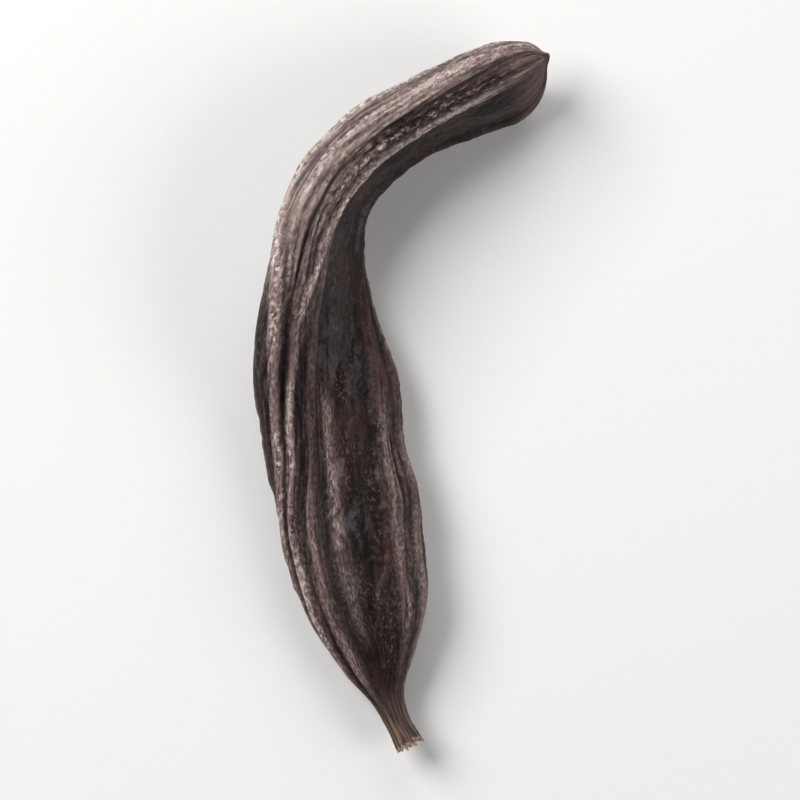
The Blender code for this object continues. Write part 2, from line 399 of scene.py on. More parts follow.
@dataclass(frozen=True)
class FaceWrinkles:
    """The sunken faces: slanting creases in patches, leathery pillows, crinkles and single veins.

    Heights and lengths are millimetres, and the rest are shares and strengths.
    """

    crease: Texture = Texture(7.5, 2.8, 0.20, 6)
    crease_slant: float = 0.5
    crease_drift: Texture = Texture(8.0, 5.0, 6.0, 11)
    crease_stray: Texture = Texture(5.0, 5.0, 5.0, 12)
    crease_on_margin: float = 0.25
    patch: Texture = Texture(16.0, 12.0, 1.2, 7)
    patch_usual: float = 0.55
    patch_crumpled: float = 0.5
    patch_least: float = 0.2
    patch_most: float = 1.1
    pillow: Texture = Texture(3.4, 1.6, 0.06, 21)
    pillow_edge: float = 0.5
    pillow_on_margin: float = 0.35
    pillow_uncreased: float = 1.3
    pillow_creased: float = 0.7
    crinkle: Texture = Texture(3.0, 1.0, 0.08, 8)
    crinkle_on_margin: float = 0.5
    vein: Texture = Texture(24.0, 3.0, 0.12, 19)
    vein_fineness: float = 0.07
    rim_calm: float = 0.55

    def relief(self, spots: Spots, crumpled: np.ndarray) -> np.ndarray:
        """Wrinkle the sunken faces, and the margins a little less.

        Args:
            spots: Where each point of the skin lies.
            crumpled: 1 along the pod where its skin is most crumpled.

        Returns:
            Height of the creases, pillows, crinkles and veins in millimetres.
        """
        skin = spots.skin_mm
        slanted = skin.copy()
        slanted[..., 0] += self.crease_slant * spots.around / MM + self.crease_drift.waves(skin)
        slanted[..., 1] += self.crease_stray.waves(skin)
        patch = self.patch_usual + self.patch.waves(skin)
        patch = patch + self.patch_crumpled * crumpled
        patch = np.clip(patch, self.patch_least, self.patch_most)
        leather = between(self.pillow_uncreased, self.pillow_creased, patch)
        # 1 half way up the rim of a face, 0 off its slope
        rim_slope = 4 * spots.face * (1 - spots.face)
        return (1 - self.rim_calm * rim_slope) * (
            self.crease.folds(slanted) * patch * between(self.crease_on_margin, 1.0, spots.face)
            + self.pillow.pillows(slanted, self.pillow_edge)
            * between(self.pillow_on_margin, 1.0, spots.face) * leather
            + self.crinkle.folds(skin) * between(self.crinkle_on_margin, 1.0, spots.face)
            + self.vein.veins(skin, self.vein_fineness) * spots.face
        )


@dataclass(frozen=True)
class KneeWrinkles:
    """The bend: puckers on its inside, and the band of the hook that is crumpled to crumbs.

    Places and spreads along the pod are shares of its length, and the rest are millimetres.
    """

    pucker: Texture = Texture(2.4, 12.0, 0.40, 9)
    pucker_place: float = 0.66
    pucker_spread: float = 0.17
    pucker_reach: float = 9.0
    crumple: Texture = Texture(2.4, 1.9, 0.80, 22)
    crumb: Texture = Texture(1.4, 1.1, 0.36, 24)
    crumple_place: float = 0.80
    crumple_spread: float = 0.14
    band_from_suture: float = 3.6
    band_half_breadth: float = 2.8

    def crumpled(self, spots: Spots) -> np.ndarray:
        """1 along the pod where its skin is most crumpled."""
        return bump(spots.share - self.crumple_place, self.crumple_spread)

    def crumpled_band(self, spots: Spots) -> np.ndarray:
        """Find the band of the hook, inside the suture, whose skin is crumpled to crumbs.

        Args:
            spots: Where each point of the skin lies.

        Returns:
            1 on the band, falling to 0 beside it.
        """
        from_suture = spots.from_suture[Suture.VENTRAL] / MM
        band = bump(from_suture - self.band_from_suture, self.band_half_breadth)
        return self.crumpled(spots) * band * spots.on(Face.UPPER)

    def relief(self, spots: Spots) -> np.ndarray:
        """Pucker the inside of the bend and crumple the skin beyond it.

        Args:
            spots: Where each point of the skin lies.

        Returns:
            Height of the puckers and the crumpled skin in millimetres.
        """
        skin = spots.skin_mm
        inner = bump(spots.from_suture[Suture.DORSAL], self.pucker_reach * MM)
        bend = bump(spots.share - self.pucker_place, self.pucker_spread)
        crumbs = self.crumple.folds(skin) + self.crumb.folds(skin)
        return self.pucker.waves(skin) * inner * bend + crumbs * self.crumpled_band(spots)


@dataclass(frozen=True)
class MarginFibres:
    """The thick margins: ropes, threads and cords of fibre, beads on them, and the suture's slit.

    Heights and breadths are millimetres, and the rest are shares and strengths.
    """

    rope: Texture = Texture(22.0, 2.1, 0.24, 3)
    rope_lean: float = 0.05
    strand: Texture = Texture(10.0, 0.80, 0.26, 4)
    cord: Texture = Texture(26.0, 1.25, 0.30, 20)
    cord_stray: float = 1.5
    cord_patch: Texture = Texture(14.0, 4.0, 1.2, 23)
    cord_on_shaft: float = 0.7
    cord_on_hook: float = 1.2
    cord_most: float = 1.6
    bead: Texture = Texture(1.6, 1.0, 0.10, 15)
    crumpled_calm: float = 0.6
    slit_depth: float = 0.10
    slit_half_breadth: float = 0.35

    def relief(self, spots: Spots, hook: np.ndarray, crumpled_band: np.ndarray) -> np.ndarray:
        """Lay the fibres along the thick margins, and cut the slit of the ventral suture.

        Args:
            spots: Where each point of the skin lies.
            hook: 1 on the hook, 0 on the shaft.
            crumpled_band: 1 where the skin is crumpled to crumbs.

        Returns:
            Height of the ropes, threads, cords and beads in millimetres.
        """
        skin = spots.skin_mm
        leaning = skin.copy()
        leaning[..., 1:] += self.rope_lean * skin[..., :1]
        ventral, dorsal = (spots.from_suture[suture] / MM for suture in Suture)
        strength = between(self.cord_on_shaft, self.cord_on_hook, hook)
        cords = self.cord.cords(leaning, np.minimum(ventral, dorsal), self.cord_stray)
        calm = 1 - self.crumpled_calm * crumpled_band
        return calm * (1 - spots.face) * (
            self.rope.waves(leaning)
            + self.strand.threads(leaning)
            + cords * np.clip(strength + self.cord_patch.waves(skin), 0, self.cord_most)
            + self.bead.waves(skin)
        ) - self.slit_depth * bump(ventral, self.slit_half_breadth)


@dataclass(frozen=True)
class StalkBark:
    """The furrowed bark of the stalk and its torn end. Its sizes are millimetres."""

    furrow: Texture = Texture(9.0, 2.6, 0.20, 13)
    chip: Texture = Texture(1.6, 1.6, 0.12, 14)
    reach: float = 9.0
    # The colour of the bark starts to give way at the first distance and has gone by the second
    colour_from: float = 4.0
    colour_to: float = 13.0
    torn_reach: float = 1.2

    def relief(self, spots: Spots) -> np.ndarray:
        """Height of the furrowed bark, which dies out where the pod broadens."""
        bark = self.chip.waves(spots.skin_mm) - self.furrow.folds(spots.skin_mm)
        return bark * MM * bump(spots.along, self.reach * MM)

    def marks(self, spots: Spots) -> dict[Mark, np.ndarray]:
        """Mark the stalk and its torn end.

        Args:
            spots: Where each point of the skin lies.

        Returns:
            The two marks.
        """
        along_mm = spots.along / MM
        past_stalk = (along_mm - self.colour_from) / (self.colour_to - self.colour_from)
        return {
            Mark.STALK: 1 - smooth_step(past_stalk),
            Mark.TORN: 1 - smooth_step(along_mm / self.torn_reach),
        }


@dataclass(frozen=True)
class Wear:
    """Where the skin is rubbed, and how the wear comes and goes.

    Places along the pod are shares of its length, and single numbers besides them are strengths.
    """

    bands: tuple[WornBand, ...] = (
        WornBand(Suture.VENTRAL, Face.UPPER, 11.5, 1.6, 0.16, 0.45, 0.60),
        WornBand(Suture.VENTRAL, Face.UPPER, 5.5, 2.2, 0.08, 0.32, 0.32),
        WornBand(Suture.VENTRAL, Face.UPPER, 2.6, 2.2, 0.54, 0.76, 0.72),
        WornBand(Suture.VENTRAL, Face.UPPER, 6.6, 1.6, 0.60, 0.95, 0.90),
        WornBand(Suture.VENTRAL, Face.UNDER, 3.4, 3.4, 0.58, 1.10, 1.00),
        WornBand(Suture.VENTRAL, Face.UNDER, 8.0, 2.4, 0.60, 1.10, 0.45),
        WornBand(Suture.DORSAL, Face.UPPER, 5.8, 1.6, 0.12, 0.42, 0.30),
    )
    patch: Texture = Texture(16.0, 5.0, 1.2, 10)
    on_shaft: float = 0.82
    on_hook: float = 0.95
    least: float = 0.20
    worn_shows: Rubbing = Rubbing(0.55, 0.08, 0.75)
    # Pale grains, partly scurf and partly painted glints, show most on crests
    scurf_and_glints_show: Rubbing = Rubbing(0.45, -0.20, 0.45)
    scurf_and_glints_on_crumbs: float = 0.60
    # What every crest shows, worn band or not, and how fibrous the margins are at least
    crest_wear: float = 0.08
    margin_least: float = 0.45
    # The tan strands of the hook, which thin out before the tip, and the tip's own wear
    tan_end: float = 0.90
    tan_fade: float = 0.20
    tan_lost: float = 0.6
    tan_unrubbed: float = 0.15
    tan_in_troughs: float = 0.55
    tip_start: float = 0.93
    tip_rise: float = 0.05
    tip_wear: float = 0.35

    def marks(
        self,
        spots: Spots,
        rib_wear: np.ndarray,
        crest: np.ndarray,
        hook: np.ndarray,
        crumpled_band: np.ndarray,
    ) -> dict[Mark, np.ndarray]:
        """Mark where the skin is rubbed.

        Args:
            spots: Where each point of the skin lies.
            rib_wear: How pale the ribs are rubbed.
            crest: 1 on the crests of the relief, 0 off them.
            hook: 1 on the hook, 0 on the shaft.
            crumpled_band: 1 where the skin is crumpled to crumbs.

        Returns:
            The marks of the worn skin, the tan strands, the scurf with its painted glints, and the
            margins.
        """
        usual = between(self.on_shaft, self.on_hook, hook)
        fickle = np.clip(usual + self.patch.waves(spots.skin_mm), self.least, 1)
        worn = rib_wear + sum(band.draw(spots) for band in self.bands)
        rubbed = worn * fickle
        everywhere = self.crest_wear * crest
        # Painted glints, with some scurf, on the crests of the crumpled band
        crumbs = self.scurf_and_glints_on_crumbs * crumpled_band * crest
        tip = self.tip_wear * smooth_step((spots.share - self.tip_start) / self.tip_rise)
        thinned = self.tan_lost * smooth_step((spots.share - self.tan_end) / self.tan_fade + 0.5)
        strands = between(self.tan_unrubbed, 1.0, fickle) * between(self.tan_in_troughs, 1.0, crest)
        marks = {
            Mark.WORN: rubbed * self.worn_shows.shown(hook, crest) + everywhere + tip,
            Mark.TAN: worn * hook * (1 - thinned) * strands,
            Mark.SCURF_AND_GLINTS: rubbed * self.scurf_and_glints_show.shown(hook, crest) + crumbs,
            Mark.MARGIN: (1 - spots.face) * np.clip(self.margin_least + worn, 0, 1),
        }
        return {mark: np.clip(strength, 0, 1) for mark, strength in marks.items()}


@dataclass(frozen=True)
class DriedRelief:
    """All the fine relief that drying leaves on the skin, and the marks that come from it."""

    faces: FaceWrinkles = FaceWrinkles()
    knee: KneeWrinkles = KneeWrinkles()
    margins: MarginFibres = MarginFibres()
    bark: StalkBark = StalkBark()
    wear: Wear = Wear()
    # How the sutures wander, the slow swells of the flesh, and how the ribs vary in strength
    wander: Texture = Texture(15.0, 15.0, 0.55, 1)
    swell: Texture = Texture(11.0, 11.0, 0.45, 5)
    vigour: Texture = Texture(9.0, 5.0, 0.70, 2)
    # The beak, and how soon the fine relief gives way to it round the tip
    beak_breadth: float = 0.13
    tip_fade: float = 0.4
    # Where the shaft gives way to the hook, as shares of the length
    hook_start: float = 0.56
    hook_rise: float = 0.10
    # Crests and hollows, told apart by how proud the skin is of its evened surroundings; the hollows are
    # darkened with painted shade
    evening_passes: int = 20
    crest_height_mm: float = 0.20
    hollow_depth_mm: float = 0.23

    def hooked(self, spots: Spots) -> np.ndarray:
        """1 on the hook, 0 on the shaft."""
        return smooth_step((spots.share - self.hook_start) / self.hook_rise)

    def rib_vigour(self, spots: Spots) -> np.ndarray:
        """How strongly the ribs stand out, around 1."""
        return 1 + self.vigour.waves(spots.skin_mm)

    def relief(
        self, spots: Spots, ribs: np.ndarray, rib_wear: np.ndarray
    ) -> tuple[np.ndarray, dict[Mark, np.ndarray]]:
        """Height of all the fine relief, and the marks that the finish is painted by.

        Args:
            spots: Where each point of the skin lies.
            ribs: Height of the ribs.
            rib_wear: How pale the ribs are rubbed.

        Returns:
            The height, and the marks.
        """
        hook = self.hooked(spots)
        crumpled_band = self.knee.crumpled_band(spots)
        wrinkles = self.faces.relief(spots, self.knee.crumpled(spots)) + self.knee.relief(spots)
        height = wrinkles + self.margins.relief(spots, hook, crumpled_band)
        whole = height + ribs / MM
        proud = whole - smoothed(whole, self.evening_passes)
        crest = smooth_step(proud / self.crest_height_mm)
        marks = self.wear.marks(spots, rib_wear, crest, hook, crumpled_band)
        marks[Mark.PLACE] = spots.skin_mm
        # Painted shade where the skin lies below its evened surroundings
        marks[Mark.SHADE_IN_HOLLOWS] = smooth_step(-proud / self.hollow_depth_mm)
        marks.update(self.bark.marks(spots))
        return (height + self.swell.waves(spots.skin_mm)) * MM, marks


@dataclass(frozen=True)
class Wave:
    """The slow wave of a margin."""

    length: float
    height: float
    phase: float

    def height_at(self, along: np.ndarray) -> np.ndarray:
        """How far the wave lifts the margin at each distance along the pod."""
        return self.height * np.sin(2 * math.pi * along / self.length + self.phase)


@dataclass(frozen=True)
class Rib:
    """A rib or a groove along a suture, the same on both sides of it.

    The course gives, for shares of the length, the distance from the suture over the skin, the half
    breadth and the height. The wear says how pale its crest is rubbed.
    """

    suture: Suture
    course: Table
    wear: float = 0.0

    def near(self, spots: Spots) -> np.ndarray:
        """How near each point is to the middle of the rib.

        Args:
            spots: Where each point of the skin lies.

        Returns:
            1 on the rib's middle, falling to 0 beside it.
        """
        share = spots.share[:, 0]
        distance, half_breadth = at(self.course, share, 1), at(self.course, share, 2)
        return bump(spots.from_suture[self.suture] - distance, half_breadth)

    def relief(self, spots: Spots) -> np.ndarray:
        """Height of the rib at each point."""
        return at(self.course, spots.share[:, 0], 3) * self.near(spots)


@dataclass(frozen=True)
class PodForm:
    """The form of the pod, from the same sizes as its CAD solid."""

    # The length is that of the curved middle line, the width reaches from suture to suture
    length: float = 148 * MM
    width: float = 25.4 * MM
    thickness: float = 10.6 * MM
    tip_rounding: float = 9 * MM
    beak: float = 1.1 * MM
    # How far the pod is pressed into the table where it rests
    flat_spot: float = 0.35 * MM
    # Share of the length, then the width and the thickness there as shares of the full ones
    outline: Table = (
        (0.000, 0.19, 0.46),
        (0.035, 0.17, 0.41),
        (0.065, 0.23, 0.47),
        (0.110, 0.52, 0.68),
        (0.175, 0.83, 0.88),
        (0.270, 0.98, 0.99),
        (0.480, 1.00, 1.00),
        (0.650, 0.93, 0.98),
        (0.800, 0.85, 0.95),
        (0.920, 0.78, 0.90),
        (1.000, 0.72, 0.86),
    )
    # Share of the length, then how many degrees the ventral suture is turned up there
    twist: Table = (
        (0.00, -6.0),
        (0.20, -6.0),
        (0.34, -4.0),
        (0.44, 10.0),
        (0.52, 34.0),
        (0.60, 57.0),
        (0.68, 67.0),
        (0.80, 69.0),
        (0.90, 62.0),
        (1.00, 52.0),
    )
    # Share of the length, then how high the plain section passes over the table
    underside: Table = (
        (0.00, 3.0 * MM),
        (0.12, 1.5 * MM),
        (0.33, -1.0 * MM),
        (0.47, 1.2 * MM),
        (0.61, 0.0 * MM),
        (0.80, 1.6 * MM),
        (0.96, 0.0 * MM),
        (1.00, 0.3 * MM),
    )
    # Share of the length, then how far the ventral suture has crept on to the upper face
    creep: Table = (
        (0.00, 0.6 * MM),
        (0.12, 1.2 * MM),
        (0.20, 2.0 * MM),
        (0.28, 3.6 * MM),
        (0.37, 6.0 * MM),
        (0.45, 6.6 * MM),
        (0.54, 5.0 * MM),
        (0.64, 3.6 * MM),
        (0.85, 3.0 * MM),
        (1.00, 1.2 * MM),
    )
    creep_reach: float = 13 * MM
    # The course: the heading of the shaft, the sway of the stalk's end and the turn of the hook
    shaft_heading: float = 98.0
    stalk_sway: float = 20.0
    sway_reach: float = 0.60
    hook_turn: float = 80.0
    hook_place: float = 0.705
    hook_spread: float = 0.060
    course_steps: int = 2000
    # The plain section is an oval between an ellipse, whose squareness is 2, and a rectangle
    squareness: float = 2.6
    section_steps: int = 1440
    # How far the narrow stalk end and the beak keep to the ventral side, and where the first stops
    stalk_lean: float = 0.35
    stalk_lean_end: float = 0.5
    tip_lean: float = 0.42
    # Ribs and grooves along the ventral suture, then along the dorsal one
    suture_groove: Rib = Rib(Suture.VENTRAL, (
        (0.00, 0.0 * MM, 0.45 * MM, -0.32 * MM),
        (0.50, 0.0 * MM, 0.45 * MM, -0.32 * MM),
        (0.66, 0.0 * MM, 0.50 * MM, -0.25 * MM),
        (1.00, 0.0 * MM, 0.50 * MM, -0.25 * MM),
    ))
    twin_ridge: Rib = Rib(Suture.VENTRAL, (
        (0.00, 1.4 * MM, 0.80 * MM, 0.50 * MM),
        (0.20, 1.5 * MM, 0.85 * MM, 0.60 * MM),
        (0.46, 1.5 * MM, 0.85 * MM, 0.60 * MM),
        (0.54, 2.4 * MM, 0.95 * MM, 0.65 * MM),
        (0.62, 4.8 * MM, 1.00 * MM, 0.80 * MM),
        (0.70, 6.8 * MM, 1.10 * MM, 0.90 * MM),
        (0.82, 7.2 * MM, 1.10 * MM, 0.65 * MM),
        (1.00, 5.4 * MM, 1.20 * MM, 0.30 * MM),
    ), wear=1.0)
    shaft_channel: Rib = Rib(Suture.VENTRAL, (
        (0.00, 3.6 * MM, 1.20 * MM, -0.30 * MM),
        (0.20, 3.8 * MM, 1.20 * MM, -0.40 * MM),
        (0.46, 3.8 * MM, 1.20 * MM, -0.40 * MM),
        (0.56, 5.0 * MM, 1.20 * MM, -0.10 * MM),
        (0.64, 6.0 * MM, 1.20 * MM, 0.00 * MM),
        (1.00, 6.0 * MM, 1.20 * MM, 0.00 * MM),
    ))
    shaft_rim: Rib = Rib(Suture.VENTRAL, (
        (0.00, 6.2 * MM, 1.30 * MM, 0.20 * MM),
        (0.46, 6.6 * MM, 1.30 * MM, 0.18 * MM),
        (0.58, 7.4 * MM, 1.30 * MM, 0.00 * MM),
        (1.00, 7.4 * MM, 1.30 * MM, 0.00 * MM),
    ), wear=0.08)
    hook_strand: Rib = Rib(Suture.VENTRAL, (
        (0.00, 2.6 * MM, 0.80 * MM, 0.00 * MM),
        (0.58, 2.6 * MM, 0.80 * MM, 0.00 * MM),
        (0.68, 3.0 * MM, 0.90 * MM, 0.30 * MM),
        (0.86, 3.0 * MM, 0.90 * MM, 0.30 * MM),
        (1.00, 2.4 * MM, 0.80 * MM, 0.15 * MM),
    ))
    dorsal_groove: Rib = Rib(Suture.DORSAL, (
        (0.00, 0.0 * MM, 0.80 * MM, -0.35 * MM),
        (1.00, 0.0 * MM, 0.80 * MM, -0.35 * MM),
    ))
    dorsal_ridge: Rib = Rib(Suture.DORSAL, (
        (0.00, 2.1 * MM, 1.20 * MM, 0.35 * MM),
        (1.00, 2.1 * MM, 1.20 * MM, 0.35 * MM),
    ), wear=0.38)
    dorsal_channel: Rib = Rib(Suture.DORSAL, (
        (0.00, 4.4 * MM, 1.20 * MM, -0.40 * MM),
        (1.00, 4.4 * MM, 1.20 * MM, -0.40 * MM),
    ))
    # Both edges wave a little, and the faces are sunken between thick rims
    margins: dict[Suture, Wave] = field(default_factory=lambda: {
        Suture.VENTRAL: Wave(34 * MM, 0.22 * MM, 0.7),
        Suture.DORSAL: Wave(23 * MM, 0.38 * MM, 2.1),
    })
    face_hollow: float = 1.15 * MM
    rim_breadth: float = 8.2 * MM
    rim_slope: float = 1.8 * MM
    # Low bumps over the seeds
    first_seed: float = 0.20
    last_seed: float = 0.93
    seed_pitch: float = 9.6 * MM
    seed_bump: float = 0.60 * MM
    seed_along: float = 3.4 * MM
    seed_across: float = 4.3 * MM
    # Slanting folds on the faces, and how far one may differ from the next: in its place, in parts
    # of the usual gap, and in parts of its slant and its height
    folds_each_face: int = 10
    fold_places: tuple[float, float] = (-0.3, 0.3)
    fold_slants: tuple[float, float] = (0.5, 1.3)
    fold_rises: tuple[float, float] = (0.5, 1.0)
    fold_height: float = 0.42 * MM
    fold_breadth: float = 1.7 * MM
    fold_reach: float = 6.0 * MM
    fold_slant: float = 1.5
    fold_scatter: float = 3.0 * MM
    fold_seed: int = 11
    # Woody strands round the stalk
    strands: int = 7
    strand_height: float = 0.22 * MM
    strand_reach: float = 9 * MM
    # Rings and points of the CAD solid, which set where it was laid down
    cad_rings: int = 70
    cad_tip_rings: int = 8
    cad_around: int = 72
    cad_crowding: float = 0.55

    def ribs(self) -> tuple[Rib, ...]:
        """List the ribs and grooves along both sutures.

        Returns:
            All of them, the ventral ones first.
        """
        return (
            self.suture_groove, self.twin_ridge, self.shaft_channel, self.shaft_rim, self.hook_strand,
            self.dorsal_groove, self.dorsal_ridge, self.dorsal_channel,
        )

    def middle_line(self, share: np.ndarray) -> tuple[np.ndarray, np.ndarray, np.ndarray]:
        """The course of the pod over the table.

        Args:
            share: Shares of the length.

        Returns:
            X, Y and the heading in radians at each share.
        """
        steps = (np.arange(self.course_steps) + 0.5) / self.course_steps
        sway = self.stalk_sway * np.clip(1 - steps / self.sway_reach, 0, 1) ** 2
        hook = self.hook_turn / (1 + np.exp((self.hook_place - steps) / self.hook_spread))
        heading = np.radians(self.shaft_heading + sway - hook)
        step = self.length / self.course_steps
        x = np.concatenate(([0.0], np.cumsum(np.cos(heading)) * step))
        y = np.concatenate(([0.0], np.cumsum(np.sin(heading)) * step))
        ends = np.arange(self.course_steps + 1) / self.course_steps
        return (
            np.interp(share, ends, x), np.interp(share, ends, y), np.interp(share, steps, heading),
        )

    def plain_section(self) -> tuple[np.ndarray, ...]:
        """Half of the plain section, from the ventral edge round the upper face to the dorsal edge.

        Returns:
            The distance over the skin, the place across the width and through the thickness as
            shares of their half sizes, and the outward direction across and through.
        """
        angle = np.linspace(0, math.pi, self.section_steps + 1)
        power = 2 / self.squareness
        across = np.sign(np.cos(angle)) * np.abs(np.cos(angle)) ** power
        through = np.abs(np.sin(angle)) ** power
        steps = np.hypot(np.diff(across) * self.width / 2, np.diff(through) * self.thickness / 2)
        over = np.concatenate(([0.0], np.cumsum(steps)))
        out_across = np.sign(across) * np.abs(across) ** (self.squareness - 1) / self.width
        out_through = through ** (self.squareness - 1) / self.thickness
        size = np.hypot(out_across, out_through)
        return over, across, through, out_across / size, out_through / size

    def half_girth(self) -> float:
        """Distance over the plain skin from the ventral to the dorsal edge."""
        return float(self.plain_section()[0][-1])

    def places_along(self, rings: int, tip_rings: int) -> np.ndarray:
        """Shares of the length at which the rings stand.

        Args:
            rings: Evenly spaced rings, from the stalk to where the tip starts to round.
            tip_rings: Rings round the tip, crowded to its end.

        Returns:
            The shares, from the stalk to just short of the tip.
        """
        tip_start = 1 - self.tip_rounding / self.length
        turn = np.linspace(0, math.pi / 2, tip_rings + 1)[1:-1]
        tip = tip_start + (1 - tip_start) * np.sin(turn)
        return np.concatenate((np.linspace(0, tip_start, rings), tip))

    def places_around(self, count: int, crowding: float) -> np.ndarray:
        """Signed distances over the skin from the ventral suture, once round, upper face first.

        Args:
            count: How many places there are.
            crowding: 0 spaces them evenly, 1 crowds them all to the sutures.

        Returns:
            The distances.
        """
        even = np.arange(count // 2 + 1) / (count // 2)
        half = (even - crowding * np.sin(2 * math.pi * even) / (2 * math.pi)) * self.half_girth()
        return np.concatenate((half, -half[-2:0:-1]))

    def spots(self, share: np.ndarray, around: np.ndarray, detail: DriedRelief | None) -> Spots:
        """Say for each point of the skin where it lies on the pod.

        Args:
            share: Shares of the length, one for each ring.
            around: Signed distances over the skin from the ventral suture, one for each column.
            detail: The fine relief, which lets the sutures wander, or None.

        Returns:
            The places, as arrays of rings by columns.
        """
        girth = self.half_girth()
        share = share[:, None]
        around = np.broadcast_to(around[None, :], (len(share), len(around)))
        along = np.broadcast_to(share * self.length, around.shape)
        turn = math.pi * around / girth
        radius = girth / math.pi
        circle = np.stack((along, radius * np.cos(turn), radius * np.sin(turn)), axis=-1)
        wander = detail.wander.waves(circle / MM) * MM if detail else 0.0
        from_ventral = np.abs(around + wander)
        from_suture = {Suture.VENTRAL: from_ventral, Suture.DORSAL: np.abs(girth - from_ventral)}
        rim = np.minimum(from_suture[Suture.VENTRAL], from_suture[Suture.DORSAL])
        return Spots(
            share=share,
            along=along,
            around=around,
            skin_mm=circle / MM,
            from_suture=from_suture,
            from_middle=from_ventral - girth / 2,
            face=smooth_step((rim - self.rim_breadth) / self.rim_slope + 0.5),
        )

    def seed_relief(self, spots: Spots) -> np.ndarray:
        """Raise the row of low bumps, one over each seed.

        Args:
            spots: Where each point of the skin lies.

        Returns:
            Height of the bumps.
        """
        first, last = self.first_seed * self.length, self.last_seed * self.length
        height = np.zeros(spots.around.shape)
        for place in np.arange(first, last, self.seed_pitch):
            far = np.hypot((spots.along - place) / self.seed_along, spots.from_middle / self.seed_across)
            height += self.seed_bump * bump(far, 1.0)
        return height

    def fold_relief(self, spots: Spots) -> np.ndarray:
        """Raise the low slanting folds and press the dents, for each face on its own.

        Args:
            spots: Where each point of the skin lies.

        Returns:
            Height of the folds and the dents.
        """
        draw = np.random.default_rng(self.fold_seed)
        height = np.zeros(spots.around.shape)
        pitch = (self.last_seed - self.first_seed) / self.folds_each_face
        for face in Face:
            for number in range(self.folds_each_face):
                share = self.first_seed + (number + draw.uniform(*self.fold_places)) * pitch
                slant = self.fold_slant * draw.uniform(*self.fold_slants)
                centre = draw.uniform(-self.fold_scatter, self.fold_scatter)
                rise = self.fold_height * draw.uniform(*self.fold_rises) * draw.choice((-1.0, 1.0))
                offset = spots.along - share * self.length - slant * (spots.from_middle - centre)
                near = bump(offset / math.hypot(1.0, slant), self.fold_breadth)
                reach = bump(spots.from_middle - centre, self.fold_reach)
                height += rise * near * reach * spots.on(face)
        return height

    def strand_relief(self, spots: Spots) -> np.ndarray:
        """Height of the woody strands round the stalk."""
        strands = np.cos(self.strands * math.pi * spots.around / self.half_girth())
        return self.strand_height * strands * bump(spots.along, self.strand_reach)

    def standing_out(
        self, spots: Spots, width: np.ndarray, rounding: np.ndarray, detail: DriedRelief | None
    ) -> tuple[np.ndarray, dict[Mark, np.ndarray]]:
        """Height of all that stands out from the plain section, and the marks that come from it.

        Args:
            spots: Where each point of the skin lies.
            width: Width of each ring's section, as a share of the full one.
            rounding: 1 up to the tip, falling to 0 round it.
            detail: The fine relief, or None for the plain CAD form.

        Returns:
            The height, and the marks.
        """
        ribs = sum(rib.relief(spots) for rib in self.ribs())
        fine: np.ndarray | float = 0.0
        bark: np.ndarray | float = 0.0
        marks: dict[Mark, np.ndarray] = {}
        if detail:
            ribs = ribs * detail.rib_vigour(spots)
            rib_wear = sum(rib.wear * rib.near(spots) for rib in self.ribs())
            fine, marks = detail.relief(spots, ribs, rib_wear)
            fine = fine * rounding ** detail.tip_fade
            bark = detail.bark.relief(spots)
        coarse = self.seed_relief(spots) + self.fold_relief(spots) - self.face_hollow * spots.face
        return ((ribs + coarse) * rounding + fine) * width + self.strand_relief(spots) + bark, marks

    def laid_along(
        self,
        share: np.ndarray,
        aside: np.ndarray,
        above: np.ndarray,
        bottom: np.ndarray,
        ahead: np.ndarray | float,
    ) -> np.ndarray:
        """Lay the sections along the course, each turned by its twist.

        Args:
            share: Shares of the length, one for each ring.
            aside: How far each point lies across its section, to the ventral side.
            above: How far it lies through its section, to the upper face.
            bottom: Height of each section's middle over the table.
            ahead: How far each point is pushed on along the course.

        Returns:
            Points as an array of rings by columns by three.
        """
        twist = np.radians(at(self.twist, share))
        x, y, heading = (values[:, None] for values in self.middle_line(share))
        level = aside * np.cos(twist) - above * np.sin(twist)
        points_x = x - np.sin(heading) * level + np.cos(heading) * ahead
        points_y = y + np.cos(heading) * level + np.sin(heading) * ahead
        points_z = bottom + aside * np.sin(twist) + above * np.cos(twist)
        return np.stack((points_x, points_y, points_z), axis=-1)

    def skin(
        self, share: np.ndarray, around: np.ndarray, detail: DriedRelief | None = None
    ) -> tuple[np.ndarray, dict[Mark, np.ndarray]]:
        """Points of the skin, and the marks that its finish is painted by.

        Args:
            share: Shares of the length, one for each ring.
            around: Signed distances over the skin from the ventral suture, one for each column.
            detail: The fine relief to lay on the form, or None for the plain CAD form.

        Returns:
            Points as an array of rings by columns by three, and the marks.
        """
        spots = self.spots(share, around, detail)
        over, across, through, out_across, out_through = self.plain_section()
        place = spots.around + at(self.creep, share) * bump(spots.around, self.creep_reach)
        side = np.where(place < 0, -1.0, 1.0)
        place = np.abs(place)
        part_across = np.interp(place, over, across)
        part_through = side * np.interp(place, over, through)

        width = at(self.outline, share)
        twist = np.radians(at(self.twist, share))
        stalk_lean = self.stalk_lean * (1 - width) * (spots.share < self.stalk_lean_end)
        aside = self.width / 2 * (width * part_across + stalk_lean)
        above = self.thickness / 2 * at(self.outline, share, 2) * part_through
        drop = np.max(-(aside * np.sin(twist) + above * np.cos(twist)), axis=1, keepdims=True)

        into_tip = np.clip((spots.along - (self.length - self.tip_rounding)) / self.tip_rounding, 0, 1)
        rounding = np.sqrt(1 - into_tip ** 2)
        aside = aside * rounding + self.width / 2 * self.tip_lean * (1 - rounding) * width
        above = above * rounding

        lift, marks = self.standing_out(spots, width, rounding, detail)
        waves = [self.margins[suture].height_at(spots.along) for suture in Suture]
        margin = part_across * np.where(part_across > 0, *waves) * width * rounding
        aside = aside + lift * np.interp(place, over, out_across) + margin
        above = above + lift * side * np.interp(place, over, out_through)
        beak = self.beak * bump(rounding, detail.beak_breadth) if detail else 0.0
        return self.laid_along(share, aside, above, drop + at(self.underside, share), beak), marks

